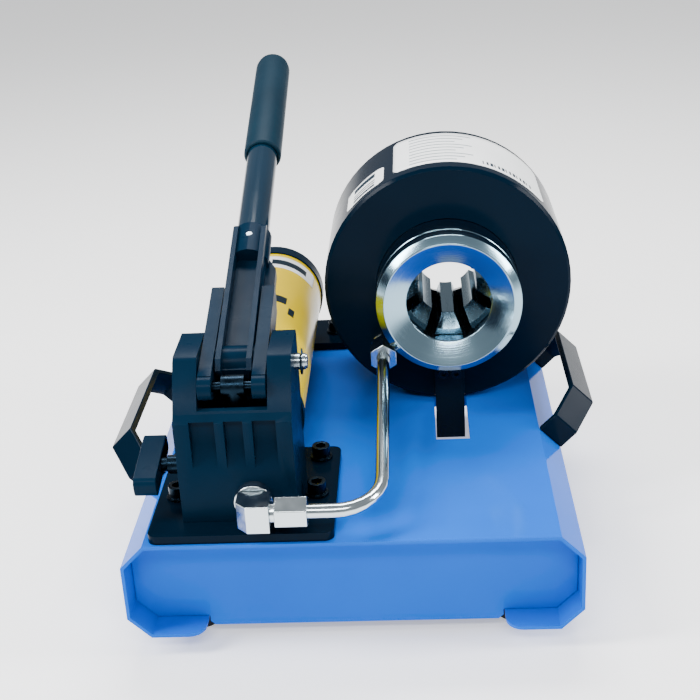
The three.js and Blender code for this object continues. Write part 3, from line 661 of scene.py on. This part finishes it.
def build_floor():
    """A pale square floor that glows a little."""
    mesh = bpy.data.meshes.new("floor")
    signs = ((-1, -1), (1, -1), (1, 1), (-1, 1))
    corners = [(x * FLOOR_REACH, y * FLOOR_REACH, -FLOOR_DROP) for x, y in signs]
    mesh.from_pydata(corners, [], [(0, 1, 2, 3)])
    material, _, shader = new_material("floor_white")
    shader.inputs["Base Color"].default_value = (FLOOR_WHITE, FLOOR_WHITE, FLOOR_WHITE, 1.0)
    shader.inputs["Roughness"].default_value = 0.9
    shader.inputs["Emission Color"].default_value = (1.0, 1.0, 1.0, 1.0)
    shader.inputs["Emission Strength"].default_value = FLOOR_GLOW
    mesh.materials.append(material)
    add_object("floor", mesh)


def build_lights():
    """A pale sky and the softboxes, which all look at one point."""
    world = bpy.data.worlds.new("studio")
    world.use_nodes = True
    sky = world.node_tree.nodes["Background"]
    sky.inputs["Color"].default_value = (*SKY_COLOUR, 1.0)
    sky.inputs["Strength"].default_value = SKY_GLOW
    bpy.context.scene.world = world
    for name, place, size, watts in SOFTBOXES:
        light = bpy.data.lights.new(name, "AREA")
        light.shape = "RECTANGLE"
        light.size, light.size_y = size
        light.energy = watts
        box = add_object(name, light)
        box.location = place
        aim = Vector(LIT_POINT) - Vector(place)
        box.rotation_euler = aim.to_track_quat("-Z", "Y").to_euler()


def build_camera():
    """The camera in front of the machine, pitched down, turned a little and rolled."""
    cos_pitch, sin_pitch = math.cos(CAMERA_PITCH), math.sin(CAMERA_PITCH)
    cos_yaw, sin_yaw = math.cos(CAMERA_YAW), math.sin(CAMERA_YAW)
    cos_roll, sin_roll = math.cos(CAMERA_ROLL), math.sin(CAMERA_ROLL)
    forward = Vector((sin_yaw * cos_pitch, cos_yaw * cos_pitch, -sin_pitch))
    right = Vector((cos_yaw, -sin_yaw, 0.0))
    up = right.cross(forward)
    right, up = right * cos_roll + up * sin_roll, up * cos_roll - right * sin_roll
    lens = bpy.data.cameras.new("camera")
    lens.lens = CAMERA_LENS_MM
    lens.sensor_width = CAMERA_SENSOR_MM
    lens.clip_end = CAMERA_REACH
    camera = add_object("camera", lens)
    turn = Matrix((right, up, -forward)).transposed().to_4x4()
    camera.matrix_world = Matrix.Translation(Vector(DECK_FRONT) + Vector(CAMERA_PLACE)) @ turn
    bpy.context.scene.camera = camera


# ---------------------------------------------------------------- operators


class CRIMPER_OT_finishes(bpy.types.Operator):
    """Make every procedural finish"""

    bl_idname = "crimper.finishes"
    bl_label = "Finishes"

    def execute(self, context):
        make_finishes()
        return {"FINISHED"}


class CRIMPER_OT_base(bpy.types.Operator):
    """Build the folded base with its end panels and feet"""

    bl_idname = "crimper.base"
    bl_label = "Base"

    def execute(self, context):
        build_base()
        return {"FINISHED"}


class CRIMPER_OT_handles(bpy.types.Operator):
    """Build the two carry handles"""

    bl_idname = "crimper.handles"
    bl_label = "Carry handles"

    def execute(self, context):
        build_handles()
        return {"FINISHED"}


class CRIMPER_OT_plates(bpy.types.Operator):
    """Build the adapter plates and the bolts"""

    bl_idname = "crimper.plates"
    bl_label = "Plates and bolts"

    def execute(self, context):
        build_plates()
        return {"FINISHED"}


class CRIMPER_OT_pump(bpy.types.Operator):
    """Build the pump with its plunger, pins and release valve"""

    bl_idname = "crimper.pump"
    bl_label = "Pump"

    def execute(self, context):
        build_pump()
        return {"FINISHED"}


class CRIMPER_OT_reservoir(bpy.types.Operator):
    """Build the oil tank with its cap, label and print"""

    bl_idname = "crimper.reservoir"
    bl_label = "Reservoir"

    def execute(self, context):
        build_reservoir()
        return {"FINISHED"}


class CRIMPER_OT_lever(bpy.types.Operator):
    """Build the lever's casting, tube and grip"""

    bl_idname = "crimper.lever"
    bl_label = "Lever"

    def execute(self, context):
        build_lever()
        return {"FINISHED"}


class CRIMPER_OT_pipework(bpy.types.Operator):
    """Build the elbow, the nuts and the pressure pipe"""

    bl_idname = "crimper.pipework"
    bl_label = "Pipework"

    def execute(self, context):
        build_pipework()
        return {"FINISHED"}


class CRIMPER_OT_head(bpy.types.Operator):
    """Build the head's cylinder, covers, seals, saddle and strip"""

    bl_idname = "crimper.head"
    bl_label = "Head"

    def execute(self, context):
        build_head()
        return {"FINISHED"}


class CRIMPER_OT_nose(bpy.types.Operator):
    """Build the steel nose and the jaws"""

    bl_idname = "crimper.nose"
    bl_label = "Nose and jaws"

    def execute(self, context):
        build_nose()
        return {"FINISHED"}


class CRIMPER_OT_labels(bpy.types.Operator):
    """Build the plain labels on the head"""

    bl_idname = "crimper.labels"
    bl_label = "Labels"

    def execute(self, context):
        build_labels()
        return {"FINISHED"}


class CRIMPER_OT_stage(bpy.types.Operator):
    """Build the floor, the lights and the camera"""

    bl_idname = "crimper.stage"
    bl_label = "Stage"

    def execute(self, context):
        build_floor()
        build_lights()
        build_camera()
        return {"FINISHED"}


class CRIMPER_PT_panel(bpy.types.Panel):
    """Lists the machine's settings and the steps that build it"""

    bl_label = "Crimper"
    bl_idname = "CRIMPER_PT_panel"
    bl_space_type = "VIEW_3D"
    bl_region_type = "UI"
    bl_category = "Crimper"

    def draw(self, context):
        for setting in CrimperSettings.__annotations__:
            self.layout.prop(context.scene.crimper, setting)
        for step in STEPS:
            self.layout.operator(step.bl_idname)


STEPS = (
    CRIMPER_OT_finishes,
    CRIMPER_OT_base,
    CRIMPER_OT_handles,
    CRIMPER_OT_plates,
    CRIMPER_OT_pump,
    CRIMPER_OT_reservoir,
    CRIMPER_OT_lever,
    CRIMPER_OT_pipework,
    CRIMPER_OT_head,
    CRIMPER_OT_nose,
    CRIMPER_OT_labels,
    CRIMPER_OT_stage,
)
CLASSES = (CrimperSettings, *STEPS, CRIMPER_PT_panel)


def register():
    """Adds the classes and the scene's settings."""
    for cls in CLASSES:
        bpy.utils.register_class(cls)
    bpy.types.Scene.crimper = bpy.props.PointerProperty(type=CrimperSettings)


def unregister():
    """Takes them away again."""
    del bpy.types.Scene.crimper
    for cls in reversed(CLASSES):
        bpy.utils.unregister_class(cls)


def main():
    """Builds everything in order."""
    register()
    bpy.ops.crimper.finishes()
    bpy.ops.crimper.base()
    bpy.ops.crimper.handles()
    bpy.ops.crimper.plates()
    bpy.ops.crimper.pump()
    bpy.ops.crimper.reservoir()
    bpy.ops.crimper.lever()
    bpy.ops.crimper.pipework()
    bpy.ops.crimper.head()
    bpy.ops.crimper.nose()
    bpy.ops.crimper.labels()
    bpy.ops.crimper.stage()


if __name__ == "__main__":
    main()
